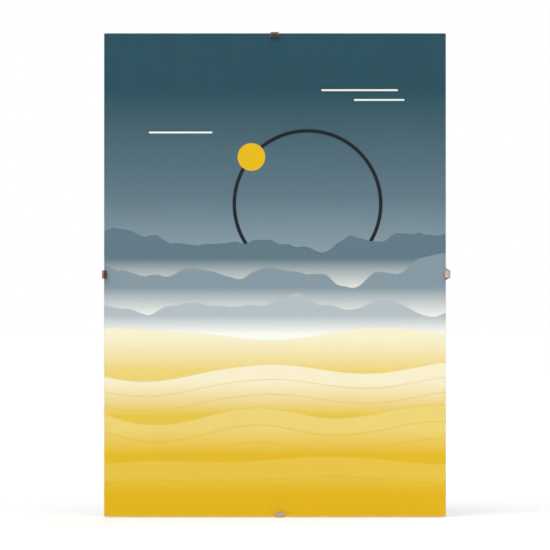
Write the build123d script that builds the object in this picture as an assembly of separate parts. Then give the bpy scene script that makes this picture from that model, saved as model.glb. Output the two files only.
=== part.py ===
from build123d import *
import os
from math import atan, cos, radians, sin, tan

# Clip frame: glass, picture and hardboard held together at the edges by four spring clips.
# Millimetres. X runs to the viewer's right, Z up, and the picture faces -Y.
# The origin is the centre of the upright hanger's keyhole, on the hanger's back face.

# Glass, picture and board
glass_width = 210.0
glass_height = 297.0
glass_thickness = 2.0
glass_arris = 0.35
glass_corner = 0.5
picture_thickness = 0.25
picture_inset = 0.1
picture_air = 0.05
board_thickness = 3.0
board_inset = 0.5
board_ease = 0.25

# Spring clip, bent from one stamped strip
strip_thickness = 0.5
rolled_edge = 0.2
bend_radius = 0.4
seat_clearance = 0.05
home_gap = 0.1
lip_length = 3.5
lip_width = 5.1
lip_tilt = 7.5
lip_corner = 0.8
release_room = 1.1
shoulder_step = 1.95
shoulder_angle = 30.0
shoulder_round = 1.5
outer_foot = 3.3
bow_span = 18.0
bow_height = 2.6
foot_bearing = 3.5
tongue_step = 1.5
tongue_round = 0.8
tongue_room = 0.8

# Slots in the board that the clips' tongues run in
slot_room = 0.3
slot_corner = 1.0

# How far each clip is pulled out from home, and its shift along the edge.
# A positive shift runs counter-clockwise round the frame, seen from the front.
top_pull = 0.29
top_shift = 0.25
right_pull = 2.25
right_shift = 0.55
bottom_pull = 0.0
bottom_shift = 3.27
left_pull = 0.7
left_shift = -0.3

# Keyhole hangers, one for each way up
hanger_thickness = 0.8
hanger_room = 10.0
hanger_margin = 4.5
hanger_corner = 5.0
hanger_ease = 0.2
entry_diameter = 8.0
keyway_width = 4.0
keyway_travel = 7.0
window_room = 1.5

# Rivets that hold the hangers
rivet_spacing = 28.0
rivet_margin = 5.0
rivet_diameter = 2.9
rivet_clearance = 0.05
rivet_head_overhang = 1.3
rivet_head_height = 1.2
rivet_rim = 0.35
rivet_flare = 1.1
rivet_flare_depth = 0.9
rivet_recess = 0.1

# Extra length of a cutter past the face that it leaves by, and how near counts as on a face
cut_over = 1.0
match_tolerance = 0.001

# Depths of the stack, from the hangers' back face forwards
board_back = -hanger_thickness
board_front = board_back - board_thickness
picture_front = board_front - picture_thickness
glass_back = picture_front - picture_air
glass_front = glass_back - glass_thickness
stack_middle = (glass_front + board_back) / 2

# Clip, measured outwards from the glass edge with the clip pushed home
web_face = home_gap
web_back = web_face + strip_thickness
lip_reach = lip_length - strip_thickness
lip_tip = web_face - lip_reach
pull_travel = release_room - lip_tip
arm_width = lip_width + 2 * shoulder_step
tongue_width = arm_width - 2 * tongue_step
slot_run = pull_travel + bend_radius + slot_room
bow_outer = web_face - outer_foot
bow_inner = bow_outer - bow_span
tongue_face = bow_inner - foot_bearing - slot_run
tongue_back = tongue_face - strip_thickness
slot_inner = tongue_back - slot_room
slot_outer = tongue_face + slot_run
slot_play = max(abs(top_shift), abs(right_shift), abs(bottom_shift), abs(left_shift)) + slot_room
slot_length = tongue_width + 2 * slot_play

# Hanger plate, measured from the keyhole's entry
keyhole_top = keyway_travel + keyway_width / 2
keyhole_middle = (keyhole_top - entry_diameter / 2) / 2
hanger_height = keyhole_top + entry_diameter / 2 + 2 * hanger_margin
hanger_width = rivet_spacing + 2 * rivet_margin
hanger_drop = hanger_room - slot_inner + keyhole_middle + hanger_height / 2
rivet_radius = rivet_diameter / 2

# Where things stand
middle_height = hanger_drop - glass_height / 2
sheet_middle = Pos(0, 0, middle_height)
hanger_places = {
    "hanger_portrait": Location(),
    "hanger_landscape": sheet_middle * Pos(glass_width / 2 - hanger_drop, 0, 0) * Rot(0, 90, 0),
}
edge_places = {
    "clip_top": sheet_middle * Pos(0, 0, glass_height / 2) * Rot(0, -90, 0),
    "clip_right": sheet_middle * Pos(glass_width / 2, 0, 0),
    "clip_bottom": sheet_middle * Pos(0, 0, -glass_height / 2) * Rot(0, 90, 0),
    "clip_left": sheet_middle * Pos(-glass_width / 2, 0, 0) * Rot(0, 180, 0),
}
clip_seats = {
    "clip_top": Pos(top_pull, 0, top_shift),
    "clip_right": Pos(right_pull, 0, right_shift),
    "clip_bottom": Pos(bottom_pull, 0, bottom_shift),
    "clip_left": Pos(left_pull, 0, left_shift),
}


def slab(plan, back, thickness):
    """Plan drawn in X and Z, thickened forwards from the depth given as back."""
    return extrude(Plane.XZ.offset(-back) * plan, amount=thickness)


def sheet(width, height, back, thickness):
    """Plain rectangular sheet in the middle of the frame."""
    return sheet_middle * slab(Rectangle(width, height), back, thickness)


def glass_pane():
    """Cut glass with dubbed corners and an arris ground along every edge."""
    pane = sheet(glass_width, glass_height, glass_back, glass_thickness)
    pane = chamfer(pane.edges().filter_by(Axis.Y), glass_corner)
    return chamfer(pane.edges().filter_by(Axis.Y, reverse=True), glass_arris)


def picture_insert():
    """Printed sheet, cut a hair smaller than the glass."""
    width = glass_width - 2 * picture_inset
    height = glass_height - 2 * picture_inset
    return sheet(width, height, board_front, picture_thickness)


def clip_slot():
    """Cutter for the slot that lets a clip's tongue slide out and sideways."""
    plan = RectangleRounded(slot_outer - slot_inner, slot_length, slot_corner)
    plan = Pos((slot_outer + slot_inner) / 2, 0) * plan
    return slab(plan, board_back + cut_over, board_thickness + 2 * cut_over)


def nail_window():
    """Cutter for the window behind a keyhole, where the nail's head goes."""
    plan = SlotCenterToCenter(keyway_travel, entry_diameter + 2 * window_room, rotation=90)
    plan = Pos(0, keyway_travel / 2) * plan
    return slab(plan, board_back + cut_over, board_thickness + 2 * cut_over)


def rivet_hole():
    """Cutter for a rivet's hole, countersunk from the board's front."""
    wall = rivet_radius + rivet_clearance
    flare_end = board_front + rivet_recess
    outline = Polyline(
        (0, board_front - cut_over),
        (wall + rivet_flare, board_front - cut_over),
        (wall + rivet_flare, flare_end),
        (wall, flare_end + rivet_flare_depth),
        (wall, board_back + cut_over),
        (0, board_back + cut_over),
        close=True,
    )
    return revolve(make_face(outline), Axis.Y)


def rivet_places():
    """Both rivets of one hanger, seen from its keyhole's entry."""
    return [Pos(side * rivet_spacing / 2, 0, keyhole_middle) for side in (-1, 1)]


def backing_board():
    """Hardboard with eased edges, clip slots, nail windows and rivet holes."""
    width = glass_width - 2 * board_inset
    height = glass_height - 2 * board_inset
    board = sheet(width, height, board_back, board_thickness)
    board = chamfer(board.edges(), board_ease)
    for place in edge_places.values():
        board -= place * clip_slot()
    for place in hanger_places.values():
        board -= place * nail_window()
        for rivet_place in rivet_places():
            board -= place * rivet_place * rivet_hole()
    return board


def strip_line(out):
    """Side view of a clip's face from lip to tongue, that far outside the inner one."""
    tilt = radians(lip_tilt)
    tip_front = glass_front - seat_clearance
    bend_front = tip_front - lip_reach * tan(tilt) - out * (1 + sin(tilt)) / cos(tilt)
    back = board_back + seat_clearance + out
    bend = bend_radius + out
    # The bow is four arcs that run into each other, with a short straight between two of them
    arc_share = 0.98
    slope = 2 * atan(2 * bow_height / bow_span)
    bow_radius = bow_span / 4 / sin(slope)
    foot_arc = arc_share * bow_radius - out
    crest_arc = arc_share * bow_radius + out
    foot_tangent = (bow_radius - out) * tan(slope / 2)
    crest_tangent = (bow_radius + out) * tan(slope / 2)
    bow_middle = (bow_outer + bow_inner) / 2
    return FilletPolyline(
        (lip_tip - out * sin(tilt), tip_front - out * cos(tilt)),
        (web_face + out, bend_front),
        (web_face + out, back),
        (bow_outer - foot_tangent, back),
        (bow_middle + crest_tangent, back + bow_height),
        (bow_middle - crest_tangent, back + bow_height),
        (bow_inner + foot_tangent, back),
        (tongue_face - out, back),
        (tongue_face - out, board_front + tongue_room),
        radius=[bend, bend, foot_arc, crest_arc, crest_arc, foot_arc, bend],
    )


def strip_side():
    """Side view of the whole strip, between its inner and its outer face."""
    inner = strip_line(0)
    outer = strip_line(strip_thickness)
    return make_face([inner, outer, Line(inner @ 0, outer @ 0), Line(inner @ 1, outer @ 1)])


def lip_plan():
    """Front view of the lip and the web, with the lip's corners rounded."""
    plan = Pos(lip_tip, 0) * Rectangle(lip_length, lip_width, align=(Align.MIN, Align.CENTER))
    return fillet(plan.vertices().group_by(Axis.X)[0], lip_corner)


def arm_plan():
    """Back view of the arm: narrow at the web, wide in the bow, stepped in to the tongue."""
    shoulder_start = web_face - shoulder_round * tan(radians(shoulder_angle / 2))
    shoulder_end = shoulder_start - shoulder_step / tan(radians(shoulder_angle))
    neck_end = tongue_face + bend_radius + slot_room
    side = [
        (web_back, lip_width / 2),
        (shoulder_start, lip_width / 2),
        (shoulder_end, arm_width / 2),
        (neck_end + tongue_step, arm_width / 2),
        (neck_end, tongue_width / 2),
        (tongue_back, tongue_width / 2),
    ]
    other_side = [(x, -y) for x, y in reversed(side)]
    rounds = [0, shoulder_round, shoulder_round, tongue_round, tongue_round, 0]
    outline = FilletPolyline(*side, *other_side, radius=rounds + rounds[::-1], close=True)
    return make_face(outline)


def outer_edges(clip):
    """Edges of a clip's outer face, which the stamping tool leaves rolled over."""
    outer_line = strip_line(strip_thickness)

    def on_outer_face(edge):
        middle = edge @ 0.5
        return outer_line.distance_to(Vector(middle.X, middle.Y, 0)) < match_tolerance

    return clip.edges().filter_by(Axis.Z, reverse=True).filter_by(on_outer_face)


def spring_clip():
    """One clip, pushed home on an edge whose outward direction is +X."""
    strip = extrude(strip_side(), amount=arm_width / 2, both=True)
    reach = bow_height + board_back - glass_front
    blank = slab(lip_plan(), stack_middle, reach) + slab(arm_plan(), stack_middle, -reach)
    clip = strip & blank
    tongue_corners = clip.edges().filter_by(Axis.X).filter_by_position(Axis.X, tongue_back, tongue_face)
    clip = fillet(tongue_corners, tongue_round)
    return fillet(outer_edges(clip), rolled_edge)


def hanger_plate():
    """Stamped plate with a keyhole: a wide entry and a keyway that the nail slides up."""
    plan = Pos(0, keyhole_middle) * RectangleRounded(hanger_width, hanger_height, hanger_corner)
    plan -= Circle(entry_diameter / 2)
    plan -= Pos(0, keyway_travel / 2) * SlotCenterToCenter(keyway_travel, keyway_width, rotation=90)
    for side in (-1, 1):
        plan -= Pos(side * rivet_spacing / 2, keyhole_middle) * Circle(rivet_radius + rivet_clearance)
    plate = slab(plan, 0, hanger_thickness)
    rim = plate.faces().sort_by(Axis.Y)[-1].outer_wire().edges()
    return chamfer(rim, hanger_ease)


def rivet():
    """Domed head on the plate, shank through the board, flared end sunk in its front."""
    head_radius = rivet_radius + rivet_head_overhang
    flare_end = board_front + rivet_recess
    outline = Polyline(
        (0, rivet_head_height),
        (0, flare_end),
        (rivet_radius + rivet_flare, flare_end),
        (rivet_radius, flare_end + rivet_flare_depth),
        (rivet_radius, 0),
        (head_radius, 0),
        (head_radius, rivet_rim),
    )
    dome = TangentArc((0, rivet_head_height), (head_radius, rivet_rim), tangent=(1, 0))
    return revolve(make_face(outline + dome), Axis.Y)


pieces = {
    "glass_pane": glass_pane(),
    "picture_insert": picture_insert(),
    "backing_board": backing_board(),
}
clip = spring_clip()
for name, edge_place in edge_places.items():
    pieces[name] = edge_place * clip_seats[name] * clip
plate = hanger_plate()
for name, hanger_place in hanger_places.items():
    pieces[name] = hanger_place * plate
headed_rivet = rivet()
pieces["hanger_rivets"] = Compound(
    [
        hanger_place * rivet_place * headed_rivet
        for hanger_place in hanger_places.values()
        for rivet_place in rivet_places()
    ]
)

os.makedirs("parts", exist_ok=True)
for name, piece in pieces.items():
    export_step(piece, f"parts/{name}.step")
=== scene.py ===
"""Looks of a clip frame: finishes for its glass, print, board and metal pieces, in a plain white studio."""
import math
from collections import namedtuple

import bmesh
import bpy
from bpy.props import FloatProperty, FloatVectorProperty, PointerProperty
from bpy.types import Operator, Panel, PropertyGroup
from mathutils import Matrix, Vector


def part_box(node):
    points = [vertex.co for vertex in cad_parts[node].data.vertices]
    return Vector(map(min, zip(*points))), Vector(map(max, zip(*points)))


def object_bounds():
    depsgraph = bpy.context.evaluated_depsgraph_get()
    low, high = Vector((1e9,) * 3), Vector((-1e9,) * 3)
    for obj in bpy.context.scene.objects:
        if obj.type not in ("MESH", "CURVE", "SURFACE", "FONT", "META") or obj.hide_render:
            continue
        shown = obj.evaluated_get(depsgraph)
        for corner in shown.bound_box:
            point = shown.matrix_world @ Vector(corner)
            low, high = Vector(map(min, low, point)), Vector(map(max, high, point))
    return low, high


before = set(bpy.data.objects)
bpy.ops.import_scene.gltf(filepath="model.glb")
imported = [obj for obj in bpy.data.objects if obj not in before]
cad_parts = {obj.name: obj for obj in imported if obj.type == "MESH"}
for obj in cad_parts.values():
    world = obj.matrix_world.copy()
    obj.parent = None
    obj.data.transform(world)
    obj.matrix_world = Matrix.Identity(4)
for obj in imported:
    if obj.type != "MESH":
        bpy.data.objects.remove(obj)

bl_info = {
    "name": "Clip frame looks",
    "version": (1, 0, 0),
    "blender": (4, 5, 0),
    "location": "3D View > Sidebar > Clip frame",
    "description": "Finishes a clip frame's glass, print, board, clips and hangers and lights it",
    "category": "Object",
}

MM = 0.001
WHITE = (1, 1, 1)
SIDEWAYS, BACKWARDS, UPWARDS = (1, 0, 0), (0, 1, 0), (0, 0, 1)

CAD_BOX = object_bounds()
GROUND = CAD_BOX[0].z
SHEET_LOW, SHEET_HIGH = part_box("picture_insert")
GLASS_LOW, GLASS_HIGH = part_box("glass_pane")
GLASS_MIDDLE = (GLASS_LOW + GLASS_HIGH) / 2

# The direction across each clip's strip
STRIP_WIDTHS = {
    "clip_top": SIDEWAYS,
    "clip_bottom": SIDEWAYS,
    "clip_left": UPWARDS,
    "clip_right": UPWARDS,
}

# How much of a face's normal runs along a direction: above SQUARE the face is square to that direction,
# and below ALONG the face runs along it
SQUARE, ALONG = 0.9, 0.3

# Sockets of a colour Mix node
FACTOR, FIRST, SECOND, MIXED = 0, 6, 7, 2

# Heights at which the print's sky takes each ink, as shares of the sheet's height
SkyInk = namedtuple("SkyInk", "height ink")
SKY = (
    SkyInk(0.39, "mist"),
    SkyInk(0.47, "pale_haze"),
    SkyInk(0.56, "haze"),
    SkyInk(0.66, "slate"),
    SkyInk(0.88, "deep_sky"),
)

# One range of hills on the print, with lengths in millimetres: height of its crest above the sheet's
# bottom edge, the crest's rise and fall, their length and the layers of smaller ones on them, the inks
# at crest and foot, how far below the crest the foot's ink is full, the spacing of raked lines, where it
# has any, and where along the noise the crest line starts.
Hills = namedtuple("Hills", "crest swing wave layers crest_ink foot_ink fade rake start")
RANGES = (
    Hills(170, 46, 62, 3.0, "slate", "mist", 36, 0, 3.1),
    Hills(150, 38, 52, 2.5, "haze", "mist", 30, 0, 11.7),
    Hills(130, 26, 46, 2.0, "pale_haze", "mist", 18, 0, 24.3),
    Hills(113, 16, 90, 0.0, "cream", "straw", 24, 0, 5.6),
    Hills(92, 36, 110, 0.0, "cream", "sand", 30, 9.2, 17.2),
    Hills(64, 42, 120, 0.0, "straw", "amber", 26, 10.8, 31.9),
    Hills(34, 36, 130, 0.0, "sand", "gold", 20, 12.4, 46.4),
)

# Thin clouds on the print: middle across, height and length in millimetres
Cloud = namedtuple("Cloud", "across height length")
CLOUDS = (
    Cloud(52, 262, 46),
    Cloud(64, 256, 30),
    Cloud(-58, 236, 38),
)

# Directions in which the board's fibres lie, in degrees
FIBRE_TURNS = (12, 57, 103, 151)

# Soft lamps: degrees round from the front and up, distance and side in metres, and the level that each adds,
# where 1 shows a colour that faces the lamp as written
Lamp = namedtuple("Lamp", "name azimuth elevation distance side level")
LAMPS = (
    Lamp("key_lamp", azimuth=-26, elevation=46, distance=2.4, side=1.6, level=0.5),
    Lamp("fill_lamp", azimuth=32, elevation=38, distance=2.4, side=1.8, level=0.28),
    Lamp("back_lamp", azimuth=152, elevation=42, distance=2.4, side=1.8, level=0.36),
)


def linear(hex_colour):
    """Turns an sRGB hex value to the linear colour that shaders take."""
    channels = [int(hex_colour[start:start + 2], 16) / 255 for start in (1, 3, 5)]
    return [c / 12.92 if c <= 0.04045 else ((c + 0.055) / 1.055) ** 2.4 for c in channels]


def tint(name, hex_colour, description):
    """A colour that a user can change."""
    return FloatVectorProperty(
        name=name, description=description, default=linear(hex_colour), subtype="COLOR", min=0, max=1
    )


def length(name, metres, description):
    """A length that a user can change."""
    return FloatProperty(
        name=name, description=description, default=metres, unit="LENGTH", min=0, precision=6
    )


def turn(name, degrees, description):
    """An angle that a user can change."""
    return FloatProperty(
        name=name, description=description, default=math.radians(degrees), subtype="ANGLE"
    )


def share(name, value, description):
    """A level from nothing upwards, where 1 is full, that a user can change."""
    return FloatProperty(
        name=name, description=description, default=value, subtype="FACTOR", min=0, soft_max=1
    )


def span(name, low, high, description):
    """A low and a high level that a user can change."""
    return FloatVectorProperty(
        name=name, description=description, default=(low, high), size=2, min=0, soft_max=1
    )


class PrintLook(PropertyGroup):
    """Inks, line sizes and paper of the printed sheet"""
    deep_sky: tint("Deep sky", "#1F4C59", "Ink at the top of the sky")
    slate: tint("Slate", "#5E7884", "Ink in the middle of the sky and on the farthest crest")
    haze: tint("Haze", "#8598A3", "Ink in the lower sky and on the middle crest")
    pale_haze: tint("Pale haze", "#B4BFC6", "Ink low in the sky and on the nearest mountain crest")
    mist: tint("Mist", "#FDFCF6", "Bare, slightly warm paper at the horizon")
    cream: tint("Cream", "#FBF1D0", "Palest ink of the dunes")
    straw: tint("Straw", "#F1D676", "Pale ink of the dunes")
    sand: tint("Sand", "#ECC743", "Middle ink of the dunes")
    amber: tint("Amber", "#E9BD1C", "Deep ink of the dunes")
    gold: tint("Gold", "#E8B800", "Full ink of the nearest dune and the sun")
    line: tint("Line", "#12181B", "Ink of the thin ring")
    paper: tint("Paper", "#F3F2EE", "Unprinted back and cut edges")
    ring_radius: length("Ring radius", 45 * MM, "Thin ring round the sun's path")
    ring_line: length("Ring line", 2.2 * MM, "Thickness of the ring's line")
    sun_radius: length("Sun radius", 8.5 * MM, "Gold disc on the ring")
    ring_across: length("Ring across", 20 * MM, "Ring's middle, right of the sheet's middle")
    ring_height: length("Ring height", 192 * MM, "Ring's middle, above the sheet's bottom edge")
    sun_turn: turn("Sun turn", 140, "Where the sun is on the ring, from the right and upwards")
    cloud_line: length("Cloud line", 1.0 * MM, "Thickness of the drawn clouds")
    rake_line: share("Rake line", 0.16, "Thickness of a raked line, as a share of the lines' spacing")
    rake_cover: share("Rake cover", 0.45, "How strongly the raked lines are printed")
    crest_roughness: share("Crest roughness", 0.45, "Height of the smaller rises on a mountain crest")
    edge: length("Ink edge", 0.25 * MM, "Softness of every printed edge")
    # Real ink dots are too fine to show, so the grain is drawn about ten times as coarse
    grain: length("Grain", 0.5 * MM, "Size of the ink's grain on the paper")
    grain_shade: span("Grain shade", 0.96, 1.04, "Darkest and palest that the grain makes the ink")
    sheen: span("Sheen", 0.5, 0.7, "Lowest and highest roughness of the satin face")
    gloss: share("Gloss", 0.15, "Strength of the paper's reflections")
    relief: length("Relief", 0.01 * MM, "Height of the paper's grain")
    relief_cover: share("Relief cover", 0.5, "How strongly the paper's grain shows")


class GlassLook(PropertyGroup):
    """Tints and ground edge of the float glass"""
    face: tint("Face", "#FCFEFD", "Faint green that the pane gives what is behind it")
    arris: tint("Arris", "#E9F3EE", "Frosted bevel round both faces")
    edge: tint("Edge", "#9FC4B5", "Green of the ground edge, seen along the sheet")
    # Real grit leaves marks of about 0.1 mm, which are drawn coarser so that they show
    grit: length("Grit", 0.4 * MM, "Size of the grinding marks on bevel and edge")
    frost: span("Frost", 0.3, 0.5, "Lowest and highest roughness of the bevel")
    edge_frost: share("Edge frost", 0.5, "Roughness that the coarser grinding of the edge adds")
    refraction: FloatProperty(
        name="Refraction", description="Refractive index of window glass", default=1.52, min=1, soft_max=2
    )


class BoardLook(PropertyGroup):
    """Fibre colours, sizes and screen print of the hardboard"""
    dark: tint("Dark fibre", "#694A30", "Darkest matted fibres")
    middle: tint("Middle fibre", "#7C583A", "Most of the board")
    light: tint("Light fibre", "#A17C56", "Loose pale fibres")
    cut: tint("Cut edge", "#4B3220", "Sawn edges and slot walls")
    fibre_length: length("Fibre length", 5 * MM, "Longest matted fibres")
    # Single fibres are about 0.04 mm wide, too fine to show, so bundles of them are drawn
    fibre_width: length("Fibre width", 0.35 * MM, "Bundles of fibres that show as one")
    fibre_levels: span("Fibre levels", 0.55, 0.78, "Noise levels at which a fibre starts and is full")
    fibre_cover: share("Fibre cover", 0.55, "How strongly the pale fibres show")
    fibre_rise: share("Fibre rise", 0.4, "Height of the fibres, as a share of the screen's print")
    mottle: length("Mottle", 18 * MM, "Size of the pale and dark clouds in the board")
    mottle_levels: span("Mottle levels", 0.2, 0.7, "Noise levels at which the board is darkest and palest")
    # A real screen's wires are about 1.4 mm apart, and are drawn wider apart so that their print shows
    screen_pitch: length("Screen pitch", 2.2 * MM, "Spacing of the wire screen's print")
    # Painted shade: below the groove level, the colour of the board's back is darkened in the grooves of the
    # screen's print
    groove_level: share("Groove level", 0.4, "Height of the screen's print below which it darkens")
    painted_groove_shade: share("Groove shade", 0.72, "Shade at the bottom of the screen's print")
    dullness: span("Dullness", 0.62, 0.85, "Roughness of the board and of its fibres")
    gloss: share("Gloss", 0.3, "Strength of the board's reflections")
    relief: length("Relief", 0.14 * MM, "Depth of the wire screen's print")
    relief_cover: share("Relief cover", 1.0, "How strongly the print and the fibres stand out")


class ClipLook(PropertyGroup):
    """Colours and marks of the clips' nickel plating"""
    plating: tint("Nickel", "#DCC8AE", "Warm plated face")
    film: tint("Stain", "#C6B097", "Duller patches of the plating")
    sheared: tint("Sheared edge", "#8B7C70", "Side faces that the tool cut")
    patch: length("Patches", 3.5 * MM, "Size of the duller patches")
    patch_levels: span("Patch levels", 0.52, 0.72, "Noise levels at which a patch starts and is full")
    patch_cover: share("Patch cover", 0.7, "How strongly the duller patches show")
    # Real rolling lines are a few hundredths of a millimetre apart, and are drawn coarser so that they show
    rolling: length("Rolling lines", 0.22 * MM, "Spacing of the lines that the rolling mill left")
    streak: length("Streak length", 14 * MM, "Length of those lines")
    tumbling: length("Tumbling marks", 0.7 * MM, "Size of the dents from tumbling")
    tumbling_rise: share("Tumbling rise", 0.8, "Depth of the dents, as a share of the rolling lines'")
    polish: span("Polish", 0.13, 0.23, "Lowest and highest roughness along the rolling lines")
    cut_roughness: share("Cut roughness", 0.22, "Roughness that shearing adds")
    relief: length("Relief", 0.002 * MM, "Depth of the rolling lines")
    relief_cover: share("Relief cover", 0.6, "How strongly lines and dents show")


class HangerLook(PropertyGroup):
    """Colours and marks of the hangers' zinc plating"""
    plating: tint("Zinc", "#B9BDC3", "Bluish zinc plating")
    film: tint("Passivate", "#BFBEB6", "Yellowish film in patches")
    sheared: tint("Sheared edge", "#83878C", "Walls of the stamped outline and keyhole")
    patch: length("Patches", 7 * MM, "Size of the film's patches")
    patch_levels: span("Patch levels", 0.42, 0.68, "Noise levels at which a patch starts and is full")
    # As on the clips, the rolling lines are drawn coarser than real ones so that they show
    rolling: length("Rolling lines", 0.3 * MM, "Spacing of the lines that the rolling mill left")
    streak: length("Streak length", 20 * MM, "Length of those lines")
    streak_shade: span("Streak shade", 0.78, 1.12, "Darkest and palest that the lines make the plating")
    polish: span("Polish", 0.18, 0.4, "Lowest and highest roughness along the rolling lines")
    film_roughness: share("Film roughness", 0.12, "Roughness that the film adds")
    cut_roughness: share("Cut roughness", 0.2, "Roughness that stamping adds")
    relief: length("Relief", 0.004 * MM, "Depth of the rolling lines")
    relief_cover: share("Relief cover", 0.6, "How strongly the lines show")


class RivetLook(PropertyGroup):
    """Colour and marks of the hangers' rivets"""
    aluminium: tint("Aluminium", "#D2D4D6", "Clean headed metal")
    scuff: length("Scuffs", 0.9 * MM, "Size of the marks from setting the rivets")
    scuff_shade: span("Scuff shade", 0.85, 1.1, "Darkest and palest that the scuffs make the metal")
    polish: span("Polish", 0.2, 0.5, "Lowest and highest roughness of the head")
    relief: length("Relief", 0.02 * MM, "Depth of the scuffs")
    relief_cover: share("Relief cover", 0.5, "How strongly the scuffs show")


class StudioLook(PropertyGroup):
    """Camera, light, floor and cloths"""
    camera_distance: length("Camera distance", 4.0, "From the lens to the glass")
    picture_width: length("Picture width", 337.9 * MM, "Width of the view at the glass")
    ambient: share("Ambient", 0.5, "Light from all round, where 1 shows a colour as written")
    floor: tint("Floor", "#E6E6E4", "Matt white paper under the frame")
    floor_half: length("Floor half side", 12.0, "From the frame to the floor's edges")
    lit_reach: length("Lit reach", 0.6, "How far from the frame the lamps alone make the floor white")
    near_glow: share("Near glow", 0.2, "Floor's own glow by the frame")
    far_glow: share("Far glow", 0.62, "Floor's own glow where the lamps don't reach")
    cloth: tint("Cloth", "#554A58", "Dark cloths before the frame, which the glass mirrors")
    pale_cloth: tint("Pale cloth", "#DAD5D1", "Cloth high before the frame, which the bottom lip mirrors")
    back_cloth: tint("Back cloth", "#8C8C8C", "Grey cloth behind the frame, which clips and hangers mirror")
    cloth_reach: length("Cloth reach", 3.0, "How far the cloths go before and behind the frame")
    cloth_half: length("Cloth half width", 2.0, "From the frame's middle to the floor cloths' sides")


class ClipFrameLook(PropertyGroup):
    """Everything that can be changed on the clip frame"""
    sheet: PointerProperty(type=PrintLook, name="Sheet", description="The printed sheet")
    glass: PointerProperty(type=GlassLook, name="Glass", description="The glass pane")
    board: PointerProperty(type=BoardLook, name="Board", description="The backing board")
    clips: PointerProperty(type=ClipLook, name="Clips", description="The four spring clips")
    hangers: PointerProperty(type=HangerLook, name="Hangers", description="The two keyhole plates")
    rivets: PointerProperty(type=RivetLook, name="Rivets", description="The rivets of both plates")
    studio: PointerProperty(type=StudioLook, name="Studio", description="The stage round the frame")


def put(tree, kind, inputs=None, **settings):
    """Adds one node with its settings, and sets or links its inputs by name or number."""
    node = tree.nodes.new(kind)
    for name, value in settings.items():
        setattr(node, name, value)
    for key, value in (inputs or {}).items():
        socket = node.inputs[key]
        if isinstance(value, bpy.types.NodeSocket):
            tree.links.new(value, socket)
        elif socket.type == "RGBA":
            socket.default_value = (*value, 1.0)
        else:
            socket.default_value = value
    return node


def new_material(name):
    """An empty material and its node tree."""
    material = bpy.data.materials.new(name)
    material.use_nodes = True
    material.node_tree.nodes.clear()
    return material, material.node_tree


def finish_nodes(names, material):
    """Gives CAD nodes their finish."""
    for name in names:
        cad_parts[name].material_slots[0].material = material


def lean(tree, direction):
    """Share of each spot's normal that runs along a direction, from -1 to 1."""
    normal = put(tree, "ShaderNodeNewGeometry").outputs["Normal"]
    measure = {0: normal, 1: direction}
    return put(tree, "ShaderNodeVectorMath", measure, operation="DOT_PRODUCT").outputs["Value"]


def patches(tree, spot, size, layers, levels):
    """Cloudy patches of a size, which go from 0 to 1 between two levels of a noise."""
    noise = {"Vector": spot, "Scale": 1 / size, "Detail": layers}
    cloudy = put(tree, "ShaderNodeTexNoise", noise).outputs["Fac"]
    start, full = levels
    limits = {"Value": cloudy, "From Min": start, "From Max": full}
    return put(tree, "ShaderNodeMapRange", limits).outputs["Result"]


def shaded(tree, colour, pattern, shades):
    """A colour that a pattern darkens and pales between two shades."""
    darkest, palest = shades
    limits = {"Value": pattern, "To Min": darkest, "To Max": palest}
    shade = put(tree, "ShaderNodeMapRange", limits).outputs["Result"]
    mixed = {FACTOR: 1.0, FIRST: colour, SECOND: shade}
    return put(tree, "ShaderNodeMix", mixed, data_type="RGBA", blend_type="MULTIPLY").outputs[MIXED]


def surface(tree, look, height, sockets):
    """Ends a material in its shader, with the relief that a pattern of heights gives."""
    bump = {"Height": height, "Distance": look.relief, "Strength": look.relief_cover}
    relief = put(tree, "ShaderNodeBump", bump).outputs["Normal"]
    shader = put(tree, "ShaderNodeBsdfPrincipled", {**sockets, "Normal": relief})
    put(tree, "ShaderNodeOutputMaterial", {"Surface": shader.outputs[0]})


def sky(tree, look, up):
    """Sky that pales from the top of the sheet down to the mist, from ink to ink."""
    sheet_height = (SHEET_HIGH.z - SHEET_LOW.z) / MM
    ink = getattr(look, SKY[0].ink)
    for below, above in zip(SKY, SKY[1:]):
        start, full = sheet_height * below.height, sheet_height * above.height
        part = put(tree, "ShaderNodeMapRange", {"Value": up, "From Min": start, "From Max": full})
        mixed = {FACTOR: part.outputs["Result"], FIRST: ink, SECOND: getattr(look, above.ink)}
        ink = put(tree, "ShaderNodeMix", mixed, data_type="RGBA").outputs[MIXED]
    return ink


def inked(tree, look, ink, distance, colour):
    """Prints a colour where distance is below zero, with an edge as soft as ink on paper."""
    edge = look.edge / MM
    limits = {"Value": distance, "From Min": edge, "From Max": -edge}
    cover = put(tree, "ShaderNodeMapRange", limits, interpolation_type="SMOOTHSTEP")
    mixed = {FACTOR: cover.outputs["Result"], FIRST: ink, SECOND: colour}
    return put(tree, "ShaderNodeMix", mixed, data_type="RGBA").outputs[MIXED]


def thin_cloud(tree, look, page, cloud, ink):
    """Thin round-ended stroke of bare paper in the sky."""
    middle = (cloud.across, 0, cloud.height)
    reach = (cloud.length / 2, 0, 0)
    half_line = look.cloud_line / MM / 2
    offset = put(tree, "ShaderNodeVectorMath", {0: page, 1: middle}, operation="SUBTRACT").outputs[0]
    offset = put(tree, "ShaderNodeVectorMath", {0: offset}, operation="ABSOLUTE").outputs[0]
    past = put(tree, "ShaderNodeVectorMath", {0: offset, 1: reach}, operation="SUBTRACT").outputs[0]
    past = put(tree, "ShaderNodeVectorMath", {0: past, 1: (0, 0, 0)}, operation="MAXIMUM").outputs[0]
    away = put(tree, "ShaderNodeVectorMath", {0: past}, operation="LENGTH").outputs["Value"]
    off_line = put(tree, "ShaderNodeMath", {0: away, 1: half_line}, operation="SUBTRACT").outputs[0]
    return inked(tree, look, ink, off_line, look.mist)


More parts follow.
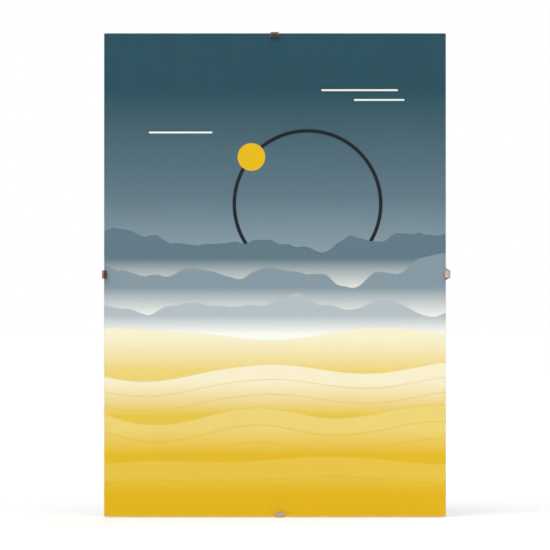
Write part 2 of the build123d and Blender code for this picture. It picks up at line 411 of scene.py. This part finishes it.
def off_circle(tree, page, middle, radius):
    """How far outside a circle each spot of the page lies, in millimetres."""
    away = put(tree, "ShaderNodeVectorMath", {0: page, 1: middle}, operation="DISTANCE").outputs["Value"]
    return put(tree, "ShaderNodeMath", {0: away, 1: radius}, operation="SUBTRACT").outputs[0]


def ring_and_sun(tree, look, page, ink):
    """Thin ring with the sun on it."""
    middle = Vector((look.ring_across, 0, look.ring_height)) / MM
    radius = look.ring_radius / MM
    half_line = look.ring_line / MM / 2
    off_ring = off_circle(tree, page, middle, radius)
    off_ring = put(tree, "ShaderNodeMath", {0: off_ring}, operation="ABSOLUTE").outputs[0]
    off_line = put(tree, "ShaderNodeMath", {0: off_ring, 1: half_line}, operation="SUBTRACT").outputs[0]
    ink = inked(tree, look, ink, off_line, look.line)
    swing = Vector((math.cos(look.sun_turn), 0, math.sin(look.sun_turn)))
    off_sun = off_circle(tree, page, middle + swing * radius, look.sun_radius / MM)
    return inked(tree, look, ink, off_sun, look.gold)


def crest_line(tree, look, across, row):
    """Height of a range's crest at each place across the sheet."""
    start = {0: across, 1: 1 / row.wave, 2: row.start}
    along = put(tree, "ShaderNodeMath", start, operation="MULTIPLY_ADD").outputs[0]
    noise = {"W": along, "Scale": 1.0, "Detail": row.layers, "Roughness": look.crest_roughness}
    wave = put(tree, "ShaderNodeTexNoise", noise, noise_dimensions="1D").outputs["Fac"]
    rise = {0: wave, 1: row.swing, 2: row.crest - row.swing / 2}
    return put(tree, "ShaderNodeMath", rise, operation="MULTIPLY_ADD").outputs[0]


def raked(tree, look, above, tone, spacing, line_ink):
    """Lines raked along a dune at even spacing below its crest."""
    half_way = spacing / 2
    off_line = put(tree, "ShaderNodeMath", {0: above, 1: half_way}, operation="PINGPONG").outputs[0]
    half_line = half_way * look.rake_line
    soft = {"Value": off_line, "From Min": half_line, "From Max": 0, "To Max": look.rake_cover}
    cover = put(tree, "ShaderNodeMapRange", soft, interpolation_type="SMOOTHSTEP")
    mixed = {FACTOR: cover.outputs["Result"], FIRST: tone, SECOND: line_ink}
    return put(tree, "ShaderNodeMix", mixed, data_type="RGBA").outputs[MIXED]


def hills(tree, look, across, up, row, ink):
    """One range of mountains or dunes, which fades from crest to foot."""
    crest = crest_line(tree, look, across, row)
    above = put(tree, "ShaderNodeMath", {0: up, 1: crest}, operation="SUBTRACT").outputs[0]
    crest_ink, foot_ink = getattr(look, row.crest_ink), getattr(look, row.foot_ink)
    # The fade starts half way down the lower half of the crest line's swing
    top, foot = row.crest - row.swing / 4, row.crest - row.fade
    fade = put(tree, "ShaderNodeMapRange", {"Value": up, "From Min": top, "From Max": foot})
    tones = {FACTOR: fade.outputs["Result"], FIRST: crest_ink, SECOND: foot_ink}
    tone = put(tree, "ShaderNodeMix", tones, data_type="RGBA").outputs[MIXED]
    if row.rake:
        tone = raked(tree, look, above, tone, row.rake, foot_ink)
    return inked(tree, look, ink, above, tone)


def landscape(tree, look, page):
    """Misty mountains and raked dunes below a ringed sun, from the far sky to the nearest dune."""
    place = put(tree, "ShaderNodeSeparateXYZ", {"Vector": page})
    across, up = place.outputs["X"], place.outputs["Z"]
    flat = put(tree, "ShaderNodeCombineXYZ", {"X": across, "Z": up}).outputs["Vector"]
    ink = sky(tree, look, up)
    for cloud in CLOUDS:
        ink = thin_cloud(tree, look, flat, cloud, ink)
    ink = ring_and_sun(tree, look, flat, ink)
    for row in RANGES:
        ink = hills(tree, look, across, up, row, ink)
    return ink


def printed_paper(look):
    """Inkjet print on satin paper: even inks with a faint grain, a dull sheen, and white back and edges."""
    material, tree = new_material("printed_paper_satin_inkjet")
    spot = put(tree, "ShaderNodeTexCoord").outputs["Object"]
    # The page is measured in millimetres from the sheet's middle and its bottom edge
    measure = {"Vector": spot, "Location": (0, 0, -SHEET_LOW.z / MM), "Scale": (1 / MM, 1 / MM, 1 / MM)}
    page = put(tree, "ShaderNodeMapping", measure).outputs["Vector"]
    dots = {"Vector": page, "Scale": MM / look.grain, "Detail": 2.0}
    grain = put(tree, "ShaderNodeTexNoise", dots).outputs["Fac"]
    ink = shaded(tree, landscape(tree, look, page), grain, look.grain_shade)
    facing = {0: lean(tree, BACKWARDS), 1: -SQUARE}
    front = put(tree, "ShaderNodeMath", facing, operation="LESS_THAN").outputs[0]
    sides = {FACTOR: front, FIRST: look.paper, SECOND: ink}
    colour = put(tree, "ShaderNodeMix", sides, data_type="RGBA").outputs[MIXED]
    smooth, rough = look.sheen
    sheen = {"Value": grain, "To Min": smooth, "To Max": rough}
    roughness = put(tree, "ShaderNodeMapRange", sheen).outputs["Result"]
    satin = {"Base Color": colour, "Roughness": roughness, "Specular IOR Level": look.gloss}
    surface(tree, look, grain, satin)
    return material


def lit_through(tree, glass):
    """Glass to the eye, which lamps and bounced light pass straight through to the print."""
    ray = put(tree, "ShaderNodeLightPath")
    lit = {0: ray.outputs["Is Shadow Ray"], 1: ray.outputs["Is Diffuse Ray"]}
    passing = put(tree, "ShaderNodeMath", lit, operation="MAXIMUM").outputs[0]
    clear = put(tree, "ShaderNodeBsdfTransparent").outputs[0]
    return put(tree, "ShaderNodeMixShader", {0: passing, 1: glass, 2: clear}).outputs[0]


def float_glass(look):
    """Float glass, cut and ground: clear polished faces, a pale frosted bevel and a green edge."""
    material, tree = new_material("float_glass_ground_edge")
    facing = put(tree, "ShaderNodeMath", {0: lean(tree, BACKWARDS)}, operation="ABSOLUTE").outputs[0]
    ground = put(tree, "ShaderNodeMath", {0: facing, 1: SQUARE}, operation="LESS_THAN").outputs[0]
    side = put(tree, "ShaderNodeMath", {0: facing, 1: ALONG}, operation="LESS_THAN").outputs[0]
    bevelled = {FACTOR: ground, FIRST: look.face, SECOND: look.arris}
    bevelled = put(tree, "ShaderNodeMix", bevelled, data_type="RGBA").outputs[MIXED]
    edged = {FACTOR: side, FIRST: bevelled, SECOND: look.edge}
    colour = put(tree, "ShaderNodeMix", edged, data_type="RGBA").outputs[MIXED]
    spot = put(tree, "ShaderNodeTexCoord").outputs["Object"]
    grit = put(tree, "ShaderNodeTexNoise", {"Vector": spot, "Scale": 1 / look.grit, "Detail": 2.0})
    smooth, rough = look.frost
    frost = {"Value": grit.outputs["Fac"], "To Min": smooth, "To Max": rough}
    frosted = put(tree, "ShaderNodeMapRange", frost).outputs["Result"]
    roughness = put(tree, "ShaderNodeMath", {0: frosted, 1: ground}, operation="MULTIPLY").outputs[0]
    coarser = {0: side, 1: look.edge_frost, 2: roughness}
    roughness = put(tree, "ShaderNodeMath", coarser, operation="MULTIPLY_ADD").outputs[0]
    clear = {"Base Color": colour, "Roughness": roughness, "IOR": look.refraction, "Transmission Weight": 1.0}
    glass = put(tree, "ShaderNodeBsdfPrincipled", clear).outputs[0]
    put(tree, "ShaderNodeOutputMaterial", {"Surface": lit_through(tree, glass)})
    return material


def matted_fibres(tree, look, spot):
    """Pale streaks that lie flat in the board in every direction."""
    size = (look.fibre_length, look.fibre_length, look.fibre_width)
    fibres = 0.0
    for degrees in FIBRE_TURNS:
        laid = {"Vector": spot, "Rotation": (0, math.radians(degrees), 0), "Scale": size}
        turned = put(tree, "ShaderNodeMapping", laid, vector_type="TEXTURE").outputs["Vector"]
        streak = put(tree, "ShaderNodeTexNoise", {"Vector": turned, "Scale": 1.0, "Detail": 2.0})
        laid_over = {0: streak.outputs["Fac"], 1: fibres}
        fibres = put(tree, "ShaderNodeMath", laid_over, operation="MAXIMUM").outputs[0]
    start, full = look.fibre_levels
    limits = {"Value": fibres, "From Min": start, "From Max": full}
    return put(tree, "ShaderNodeMapRange", limits).outputs["Result"]


def screen_print(tree, look, spot):
    """Pillows between the wires of the screen that the wet board was pressed on."""
    half_wave = math.pi / look.screen_pitch
    spaced = put(tree, "ShaderNodeMapping", {"Vector": spot, "Scale": (half_wave, half_wave, half_wave)})
    waves = put(tree, "ShaderNodeVectorMath", {0: spaced.outputs["Vector"]}, operation="SINE")
    pillows = put(tree, "ShaderNodeVectorMath", {0: waves.outputs[0]}, operation="ABSOLUTE")
    split = put(tree, "ShaderNodeSeparateXYZ", {"Vector": pillows.outputs[0]})
    crossed = {0: split.outputs["X"], 1: split.outputs["Z"]}
    return put(tree, "ShaderNodeMath", crossed, operation="MULTIPLY").outputs[0]


def fibre_colour(tree, look, spot, fibres, facing):
    """Clouded brown with pale fibres on the faces, and dark along sawn edges and slots."""
    mottle = patches(tree, spot, look.mottle, layers=5.0, levels=look.mottle_levels)
    clouded = {FACTOR: mottle, FIRST: look.dark, SECOND: look.middle}
    colour = put(tree, "ShaderNodeMix", clouded, data_type="RGBA").outputs[MIXED]
    cover = put(tree, "ShaderNodeMath", {0: fibres, 1: look.fibre_cover}, operation="MULTIPLY").outputs[0]
    matted = {FACTOR: cover, FIRST: colour, SECOND: look.light}
    colour = put(tree, "ShaderNodeMix", matted, data_type="RGBA").outputs[MIXED]
    depth = put(tree, "ShaderNodeMath", {0: facing}, operation="ABSOLUTE").outputs[0]
    sawn = put(tree, "ShaderNodeMath", {0: depth, 1: ALONG}, operation="LESS_THAN").outputs[0]
    edged = {FACTOR: sawn, FIRST: colour, SECOND: look.cut}
    return put(tree, "ShaderNodeMix", edged, data_type="RGBA").outputs[MIXED]


def shade_painted_in_grooves(tree, look, colour, screen, back):
    """Paints shade on the board's back: darkens it in the grooves along the print of the screen's wires."""
    limits = {"Value": screen, "From Max": look.groove_level, "To Min": look.painted_groove_shade}
    painted_shade = put(tree, "ShaderNodeMapRange", limits).outputs["Result"]
    shade = {FACTOR: back, FIRST: WHITE, SECOND: painted_shade}
    shade = put(tree, "ShaderNodeMix", shade, data_type="RGBA").outputs[MIXED]
    mixed = {FACTOR: 1.0, FIRST: colour, SECOND: shade}
    return put(tree, "ShaderNodeMix", mixed, data_type="RGBA", blend_type="MULTIPLY").outputs[MIXED]


def pressed_hardboard(look):
    """Hardboard, hot pressed: matted brown fibre, smooth in front and printed by the wire screen behind."""
    material, tree = new_material("hardboard_pressed_fibre")
    spot = put(tree, "ShaderNodeTexCoord").outputs["Object"]
    fibres = matted_fibres(tree, look, spot)
    screen = screen_print(tree, look, spot)
    facing = lean(tree, BACKWARDS)
    back = put(tree, "ShaderNodeMath", {0: facing, 1: SQUARE}, operation="GREATER_THAN").outputs[0]
    colour = fibre_colour(tree, look, spot, fibres, facing)
    # Painted shade in the grooves of the screen's print on the back
    colour = shade_painted_in_grooves(tree, look, colour, screen, back)
    pressed = put(tree, "ShaderNodeMath", {0: screen, 1: back}, operation="MULTIPLY").outputs[0]
    raised = {0: fibres, 1: look.fibre_rise, 2: pressed}
    height = put(tree, "ShaderNodeMath", raised, operation="MULTIPLY_ADD").outputs[0]
    plain, matted = look.dullness
    dull = {"Value": fibres, "To Min": plain, "To Max": matted}
    roughness = put(tree, "ShaderNodeMapRange", dull).outputs["Result"]
    fibrous = {"Base Color": colour, "Roughness": roughness, "Specular IOR Level": look.gloss}
    surface(tree, look, height, fibrous)
    return material


def rolling_lines(tree, look, spot, width):
    """Lines that the rolling mill left, fine across the metal and long along it."""
    size = [look.rolling if part else look.streak for part in width]
    drawn = put(tree, "ShaderNodeMapping", {"Vector": spot, "Scale": size}, vector_type="TEXTURE")
    lines = {"Vector": drawn.outputs["Vector"], "Scale": 1.0, "Detail": 3.0}
    return put(tree, "ShaderNodeTexNoise", lines).outputs["Fac"]


def plated(tree, look, film, cut):
    """Colour of plated metal, with patches of film, and bare where the tool cut it."""
    filmed = {FACTOR: film, FIRST: look.plating, SECOND: look.film}
    colour = put(tree, "ShaderNodeMix", filmed, data_type="RGBA").outputs[MIXED]
    sheared = {FACTOR: cut, FIRST: colour, SECOND: look.sheared}
    return put(tree, "ShaderNodeMix", sheared, data_type="RGBA").outputs[MIXED]


def polished(tree, look, rolling, cut):
    """Roughness that follows the rolling lines and is higher where the tool cut."""
    smooth, rough = look.polish
    limits = {"Value": rolling, "To Min": smooth, "To Max": rough}
    even = put(tree, "ShaderNodeMapRange", limits).outputs["Result"]
    added = {0: cut, 1: look.cut_roughness, 2: even}
    return put(tree, "ShaderNodeMath", added, operation="MULTIPLY_ADD").outputs[0]


def nickel_strip(look, name, width):
    """Nickel plated spring steel, rolled and tumbled: warm, faintly streaked lengthwise, dull where cut."""
    material, tree = new_material(name)
    spot = put(tree, "ShaderNodeTexCoord").outputs["Object"]
    rolling = rolling_lines(tree, look, spot, width)
    dents = {"Vector": spot, "Scale": 1 / look.tumbling, "Detail": 2.0}
    tumbling = put(tree, "ShaderNodeTexNoise", dents).outputs["Fac"]
    side = put(tree, "ShaderNodeMath", {0: lean(tree, width)}, operation="ABSOLUTE").outputs[0]
    cut = put(tree, "ShaderNodeMath", {0: side, 1: SQUARE}, operation="GREATER_THAN").outputs[0]
    stains = patches(tree, spot, look.patch, layers=4.0, levels=look.patch_levels)
    stains = put(tree, "ShaderNodeMath", {0: stains, 1: look.patch_cover}, operation="MULTIPLY").outputs[0]
    dented = {0: tumbling, 1: look.tumbling_rise, 2: rolling}
    height = put(tree, "ShaderNodeMath", dented, operation="MULTIPLY_ADD").outputs[0]
    colour, roughness = plated(tree, look, stains, cut), polished(tree, look, rolling, cut)
    surface(tree, look, height, {"Base Color": colour, "Metallic": 1.0, "Roughness": roughness})
    return material


def zinc_plate(look):
    """Bright zinc plated steel, rolled and stamped: bluish, streaked, filmed in patches, dull where cut."""
    material, tree = new_material("steel_bright_zinc_plated")
    spot = put(tree, "ShaderNodeTexCoord").outputs["Object"]
    rolling = rolling_lines(tree, look, spot, UPWARDS)
    film = patches(tree, spot, look.patch, layers=3.0, levels=look.patch_levels)
    facing = put(tree, "ShaderNodeMath", {0: lean(tree, BACKWARDS)}, operation="ABSOLUTE").outputs[0]
    cut = put(tree, "ShaderNodeMath", {0: facing, 1: ALONG}, operation="LESS_THAN").outputs[0]
    colour = shaded(tree, plated(tree, look, film, cut), rolling, look.streak_shade)
    filmed = {0: film, 1: look.film_roughness, 2: polished(tree, look, rolling, cut)}
    roughness = put(tree, "ShaderNodeMath", filmed, operation="MULTIPLY_ADD").outputs[0]
    surface(tree, look, rolling, {"Base Color": colour, "Metallic": 1.0, "Roughness": roughness})
    return material


def headed_aluminium(look):
    """Aluminium, cold headed: pale and soft looking, with small scuffs from the setting tool."""
    material, tree = new_material("aluminium_cold_headed")
    spot = put(tree, "ShaderNodeTexCoord").outputs["Object"]
    marks = {"Vector": spot, "Scale": 1 / look.scuff, "Detail": 3.0}
    scuffs = put(tree, "ShaderNodeTexNoise", marks).outputs["Fac"]
    colour = shaded(tree, look.aluminium, scuffs, look.scuff_shade)
    smooth, rough = look.polish
    worn = {"Value": scuffs, "To Min": smooth, "To Max": rough}
    roughness = put(tree, "ShaderNodeMapRange", worn).outputs["Result"]
    surface(tree, look, scuffs, {"Base Color": colour, "Metallic": 1.0, "Roughness": roughness})
    return material


def seen_directly(tree):
    """1 for what the camera sees, straight or in metal and glass, and 0 for light that dull faces get."""
    ray = put(tree, "ShaderNodeLightPath")
    shiny = {0: ray.outputs["Is Glossy Ray"], 1: ray.outputs["Is Transmission Ray"]}
    mirrored = put(tree, "ShaderNodeMath", shiny, operation="MAXIMUM").outputs[0]
    seen = {0: ray.outputs["Is Camera Ray"], 1: mirrored}
    return put(tree, "ShaderNodeMath", seen, operation="MAXIMUM").outputs[0]


def add_rectangle(bm, corner, opposite):
    """Adds a flat rectangle between two corners that share one coordinate."""
    corner, opposite = Vector(corner), Vector(opposite)
    sides = Matrix.Diagonal(opposite - corner).col
    across, along = [side for side in sides if side.length]
    turned = Matrix((across, along, across.cross(along))).transposed().to_4x4()
    placed = Matrix.Translation((corner + opposite) / 2) @ turned
    half_side = 0.5
    bmesh.ops.create_grid(bm, x_segments=1, y_segments=1, size=half_side, matrix=placed)


def add_stage(name, material, rectangles):
    """Makes a stage object of flat rectangles whose places are in its vertices."""
    bm = bmesh.new()
    for corner, opposite in rectangles:
        add_rectangle(bm, corner, opposite)
    mesh = bpy.data.meshes.new(name)
    bm.to_mesh(mesh)
    bm.free()
    mesh.materials.append(material)
    obj = bpy.data.objects.new(name, mesh)
    bpy.context.scene.collection.objects.link(obj)
    return obj


def matt_paper(look):
    """Matt white paper, lit by the lamps near the frame, where it takes a shadow, and glowing farther off."""
    material, tree = new_material("studio_paper_matt_white")
    matt = put(tree, "ShaderNodeBsdfDiffuse", {"Color": look.floor}).outputs[0]
    spot = put(tree, "ShaderNodeTexCoord").outputs["Object"]
    away = put(tree, "ShaderNodeVectorMath", {0: spot}, operation="LENGTH").outputs["Value"]
    limits = {
        "Value": away,
        "From Min": look.lit_reach,
        "From Max": look.camera_distance,
        "To Min": look.near_glow,
        "To Max": look.far_glow,
    }
    glowing = put(tree, "ShaderNodeMapRange", limits, interpolation_type="SMOOTHSTEP").outputs["Result"]
    strength = {0: seen_directly(tree), 1: glowing}
    strength = put(tree, "ShaderNodeMath", strength, operation="MULTIPLY").outputs[0]
    glow = put(tree, "ShaderNodeEmission", {"Color": WHITE, "Strength": strength}).outputs[0]
    shader = put(tree, "ShaderNodeAddShader", {0: matt, 1: glow}).outputs[0]
    put(tree, "ShaderNodeOutputMaterial", {"Surface": shader})
    return material


def white_floor(look):
    """White studio floor under the frame."""
    half = look.floor_half
    add_stage("studio_floor", matt_paper(look), [((-half, -half, GROUND), (half, half, GROUND))])


def unseen_cloth(name, material, rectangles):
    """Flat cloths that only glass and metal mirror."""
    obj = add_stage(name, material, rectangles)
    obj.visible_camera = False
    obj.visible_diffuse = False
    obj.visible_shadow = False


def paling_cloth(name, dark, pale_right):
    """Cloth that is dark along the middle and as pale as the floor at both sides."""
    material, tree = new_material(name)
    # Metres right of the frame's middle
    dark_left, pale_left, dark_right = -0.19, -0.76, 0.8
    spot = put(tree, "ShaderNodeTexCoord").outputs["Object"]
    across = put(tree, "ShaderNodeSeparateXYZ", {"Vector": spot}).outputs["X"]
    paling = 0.0
    for inner, outer in ((dark_left, pale_left), (dark_right, pale_right)):
        limits = {"Value": across, "From Min": inner, "From Max": outer}
        side = put(tree, "ShaderNodeMapRange", limits, interpolation_type="SMOOTHSTEP").outputs["Result"]
        paling = put(tree, "ShaderNodeMath", {0: side, 1: paling}, operation="MAXIMUM").outputs[0]
    colours = {FACTOR: paling, FIRST: dark, SECOND: WHITE}
    colour = put(tree, "ShaderNodeMix", colours, data_type="RGBA").outputs[MIXED]
    glow = put(tree, "ShaderNodeEmission", {"Color": colour}).outputs[0]
    put(tree, "ShaderNodeOutputMaterial", {"Surface": glow})
    return material


def floor_cloths(look):
    """Dark cloth on the floor before the frame and grey cloth behind it, which pale towards their sides."""
    half = look.cloth_half
    lift, front_gap, back_gap = 0.2 * MM, 2 * MM, 10 * MM
    height = GROUND + lift
    cloths = (
        ("studio_front_cloth", look.cloth, GLASS_LOW.y - front_gap, -look.cloth_reach),
        ("studio_back_cloth", look.back_cloth, CAD_BOX[1].y + back_gap, look.cloth_reach),
    )
    for name, dark, start, end in cloths:
        laid = ((-half, start, height), (half, end, height))
        unseen_cloth(name, paling_cloth(name, dark, half), [laid])


def even_cloth(name, colour):
    """Cloth of one colour, which shows as written in any light."""
    material, tree = new_material(name)
    glow = put(tree, "ShaderNodeEmission", {"Color": colour}).outputs[0]
    put(tree, "ShaderNodeOutputMaterial", {"Surface": glow})
    return material


def hung_cloths(look):
    """Dark cloths before, left of and over the frame, and a pale one, for glass and lips to mirror."""
    # Metres back from the frame, right of its middle, and up from the middle of the glass
    front, behind = -look.cloth_reach, 1.0
    wall, left, step, right = -1.6, -0.2, 0.3, 1.6
    low, high, ceiling = [GLASS_MIDDLE.z + rise for rise in (0.29, 1.0, 1.3)]
    dark = (
        ((left, front, GROUND), (step, front, low)),
        ((step, front, GROUND), (right, front, high)),
        ((wall, front, GROUND), (wall, behind, high)),
        ((wall / 2, front, ceiling), (-wall / 2, behind, ceiling)),
    )
    pale = [((left, front, low), (step, front, high))]
    unseen_cloth("studio_dark_cloths", even_cloth("studio_dark_cloths", look.cloth), dark)
    unseen_cloth("studio_pale_cloth", even_cloth("studio_pale_cloth", look.pale_cloth), pale)


def softbox(lamp):
    """Square soft lamp aimed at the frame, which the camera doesn't see."""
    azimuth, elevation = math.radians(lamp.azimuth), math.radians(lamp.elevation)
    reach = math.cos(elevation)
    towards = Vector((math.sin(azimuth) * reach, -math.cos(azimuth) * reach, math.sin(elevation)))
    light = bpy.data.lights.new(lamp.name, "AREA")
    light.shape = "SQUARE"
    light.size = lamp.side
    # At this power a matt white face turned to the lamp is as bright as the lamp's level
    light.energy = lamp.level * (math.pi * lamp.distance) ** 2
    obj = bpy.data.objects.new(lamp.name, light)
    obj.location = GLASS_MIDDLE + towards * lamp.distance
    obj.rotation_euler = towards.to_track_quat("Z", "Y").to_euler()
    obj.visible_camera = False
    bpy.context.scene.collection.objects.link(obj)


def white_world(look):
    """World that is white to the eye and lights the frame evenly at the ambient level."""
    world = bpy.data.worlds.new("studio_white")
    bpy.context.scene.world = world
    world.use_nodes = True
    tree = world.node_tree
    tree.nodes.clear()
    level = {0: seen_directly(tree), 1: 1 - look.ambient, 2: look.ambient}
    strength = put(tree, "ShaderNodeMath", level, operation="MULTIPLY_ADD").outputs[0]
    sky_light = put(tree, "ShaderNodeBackground", {"Color": WHITE, "Strength": strength}).outputs[0]
    put(tree, "ShaderNodeOutputWorld", {"Surface": sky_light})


def camera(look):
    """Long lens square on to the middle of the glass."""
    data = bpy.data.cameras.new("camera")
    data.lens = data.sensor_width * look.camera_distance / look.picture_width
    obj = bpy.data.objects.new("camera", data)
    obj.location = (GLASS_MIDDLE.x, GLASS_LOW.y - look.camera_distance, GLASS_MIDDLE.z)
    obj.rotation_euler = (math.radians(90), 0, 0)
    bpy.context.scene.collection.objects.link(obj)
    bpy.context.scene.camera = obj


class CLIPFRAME_OT_print_sheet(Operator):
    """Prints a landscape on the sheet behind the glass"""
    bl_idname = "clip_frame.print_sheet"
    bl_label = "Print the sheet"

    def execute(self, context):
        finish_nodes(["picture_insert"], printed_paper(context.scene.clip_frame.sheet))
        return {"FINISHED"}


class CLIPFRAME_OT_polish_glass(Operator):
    """Makes the pane clear, with a ground edge"""
    bl_idname = "clip_frame.polish_glass"
    bl_label = "Polish the glass"

    def execute(self, context):
        finish_nodes(["glass_pane"], float_glass(context.scene.clip_frame.glass))
        return {"FINISHED"}


class CLIPFRAME_OT_press_board(Operator):
    """Gives the backing board its fibres and the screen's print"""
    bl_idname = "clip_frame.press_board"
    bl_label = "Press the board"

    def execute(self, context):
        finish_nodes(["backing_board"], pressed_hardboard(context.scene.clip_frame.board))
        return {"FINISHED"}


class CLIPFRAME_OT_plate_clips(Operator):
    """Plates the four spring clips, with rolling lines along each strip"""
    bl_idname = "clip_frame.plate_clips"
    bl_label = "Plate the clips"

    def execute(self, context):
        look = context.scene.clip_frame.clips
        for name, width in STRIP_WIDTHS.items():
            finish_nodes([name], nickel_strip(look, f"spring_steel_nickel_plated_{name}", width))
        return {"FINISHED"}


class CLIPFRAME_OT_plate_hangers(Operator):
    """Plates both hangers with zinc"""
    bl_idname = "clip_frame.plate_hangers"
    bl_label = "Plate the hangers"

    def execute(self, context):
        hangers = ["hanger_portrait", "hanger_landscape"]
        finish_nodes(hangers, zinc_plate(context.scene.clip_frame.hangers))
        return {"FINISHED"}


class CLIPFRAME_OT_head_rivets(Operator):
    """Gives the rivets of both hangers their headed metal"""
    bl_idname = "clip_frame.head_rivets"
    bl_label = "Head the rivets"

    def execute(self, context):
        finish_nodes(["hanger_rivets"], headed_aluminium(context.scene.clip_frame.rivets))
        return {"FINISHED"}


class CLIPFRAME_OT_set_stage(Operator):
    """Sets up floor, cloths, lamps, world and camera"""
    bl_idname = "clip_frame.set_stage"
    bl_label = "Set the stage"

    def execute(self, context):
        look = context.scene.clip_frame.studio
        white_floor(look)
        floor_cloths(look)
        hung_cloths(look)
        for lamp in LAMPS:
            softbox(lamp)
        white_world(look)
        camera(look)
        context.scene.view_settings.view_transform = "Standard"
        return {"FINISHED"}


class CLIPFRAME_PT_looks(Panel):
    """Lists what can be changed on the clip frame, and the steps that apply it"""
    bl_label = "Clip frame"
    bl_idname = "CLIPFRAME_PT_looks"
    bl_space_type = "VIEW_3D"
    bl_region_type = "UI"
    bl_category = "Clip frame"

    def draw(self, context):
        look = context.scene.clip_frame
        for group_name, operator in STEPS:
            box = self.layout.box()
            box.operator(operator.bl_idname)
            group = getattr(look, group_name)
            for name in type(group).__annotations__:
                box.prop(group, name)


STEPS = (
    ("sheet", CLIPFRAME_OT_print_sheet),
    ("glass", CLIPFRAME_OT_polish_glass),
    ("board", CLIPFRAME_OT_press_board),
    ("clips", CLIPFRAME_OT_plate_clips),
    ("hangers", CLIPFRAME_OT_plate_hangers),
    ("rivets", CLIPFRAME_OT_head_rivets),
    ("studio", CLIPFRAME_OT_set_stage),
)
CLASSES = (
    PrintLook,
    GlassLook,
    BoardLook,
    ClipLook,
    HangerLook,
    RivetLook,
    StudioLook,
    ClipFrameLook,
    *(operator for group_name, operator in STEPS),
    CLIPFRAME_PT_looks,
)


def register():
    """Registers the classes and hangs the looks on the scene."""
    for cls in CLASSES:
        bpy.utils.register_class(cls)
    bpy.types.Scene.clip_frame = PointerProperty(
        type=ClipFrameLook, name="Clip frame", description="Finishes of the clip frame and its stage"
    )


def unregister():
    """Takes the looks off the scene and forgets the classes."""
    del bpy.types.Scene.clip_frame
    for cls in reversed(CLASSES):
        bpy.utils.unregister_class(cls)


def main():
    """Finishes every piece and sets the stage."""
    register()
    bpy.ops.clip_frame.print_sheet()
    bpy.ops.clip_frame.polish_glass()
    bpy.ops.clip_frame.press_board()
    bpy.ops.clip_frame.plate_clips()
    bpy.ops.clip_frame.plate_hangers()
    bpy.ops.clip_frame.head_rivets()
    bpy.ops.clip_frame.set_stage()


if __name__ == "__main__":
    main()
